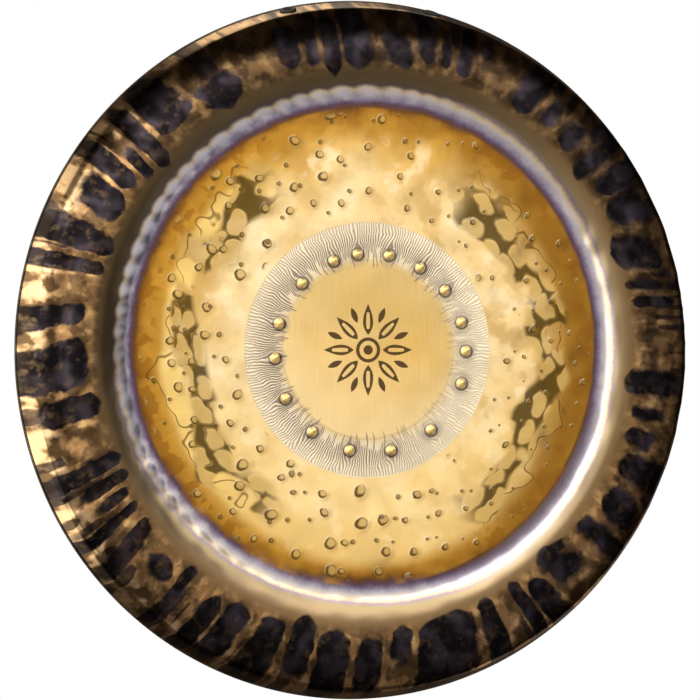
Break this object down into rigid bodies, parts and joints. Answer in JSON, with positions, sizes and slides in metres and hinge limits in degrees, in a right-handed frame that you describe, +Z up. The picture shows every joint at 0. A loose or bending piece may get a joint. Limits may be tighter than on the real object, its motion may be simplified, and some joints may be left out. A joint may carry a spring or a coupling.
{
  "type": "tam-tam gong",
  "caption": "Hammered bronze tam-tam with a polished face, a heat-tinted ring, a dark streaked band and a turned-back rim with grommets for its hanging cord.",
  "frame": {"origin": "midway between the centres of the two cord holes, halfway through the rim's sheet", "axes": "+Z up as the gong hangs, -Y the way the playing face looks, +Y towards the open back, +X to the right as seen from the face"},
  "size_m": [0.812, 0.0512, 0.812],
  "materials": {
    "gong_bronze": "hammered bronze, polished gold in the middle, heat-tinted ring, dark streaked patina on the band and rim",
    "grommet_rubber": "matt black rubber"
  },
  "bodies": {
    "root": {"gong_disc": "gong_bronze", "left_cord_grommet": "grommet_rubber", "right_cord_grommet": "grommet_rubber"}
  },
  "joints": []
}
